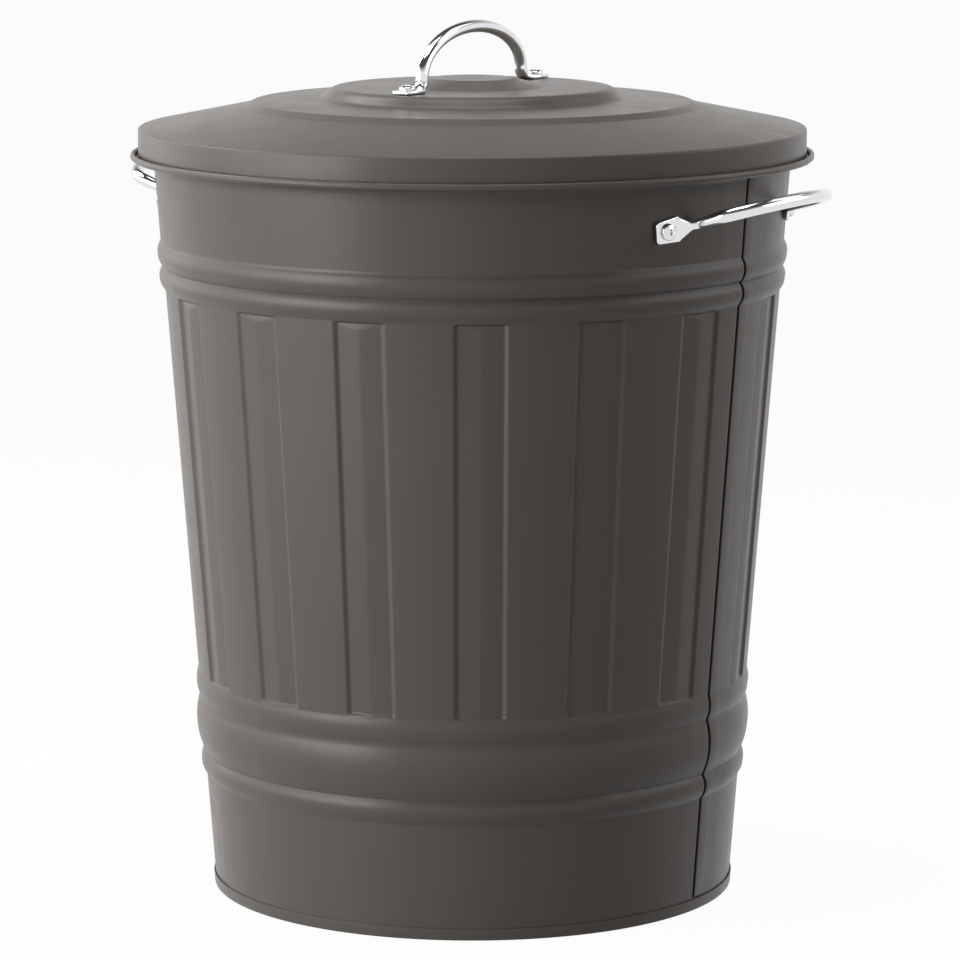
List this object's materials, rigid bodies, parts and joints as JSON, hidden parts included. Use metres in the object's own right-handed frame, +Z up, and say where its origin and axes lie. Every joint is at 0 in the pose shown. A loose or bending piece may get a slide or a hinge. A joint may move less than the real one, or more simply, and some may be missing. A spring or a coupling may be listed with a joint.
{
  "type": "lidded steel bin",
  "caption": "Round tapered steel bin with rolled beads, pressed ribs, a lift-off lid and bright rod handles on both sides and on the lid.",
  "frame": {"origin": "middle of the base hoop's lower edge, on the floor", "axes": "+Z up through the lid; X through the two side handles, with the wall's seam on +X; the lid's handle runs along Y"},
  "size_m": [0.4548, 0.4046, 0.5187],
  "materials": {
    "painted_sheet": "satin warm-grey powder coat with a fine texture",
    "plated_rod": "bright plated steel",
    "plated_screw": "bright plated steel",
    "zinc_hardware": "zinc-plated steel, slightly dull"
  },
  "bodies": {
    "bin": {"wall": "painted_sheet", "base": "painted_sheet", "left_handle": "plated_rod", "right_handle": "plated_rod", "left_handle_front_screw": "plated_screw", "left_handle_front_washer": "zinc_hardware", "left_handle_front_nut": "zinc_hardware", "left_handle_rear_screw": "plated_screw", "left_handle_rear_washer": "zinc_hardware", "left_handle_rear_nut": "zinc_hardware", "right_handle_front_screw": "plated_screw", "right_handle_front_washer": "zinc_hardware", "right_handle_front_nut": "zinc_hardware", "right_handle_rear_screw": "plated_screw", "right_handle_rear_washer": "zinc_hardware", "right_handle_rear_nut": "zinc_hardware"},
    "lid": {"lid": "painted_sheet", "lid_handle": "plated_rod", "lid_handle_front_screw": "plated_screw", "lid_handle_front_washer": "zinc_hardware", "lid_handle_front_nut": "zinc_hardware", "lid_handle_rear_screw": "plated_screw", "lid_handle_rear_washer": "zinc_hardware", "lid_handle_rear_nut": "zinc_hardware"}
  },
  "joints": [
    {"name": "lid_lift", "type": "slide", "parent": "bin", "child": "lid", "axis": [0, 0, 1], "range_m": [0, 0.25]}
  ]
}
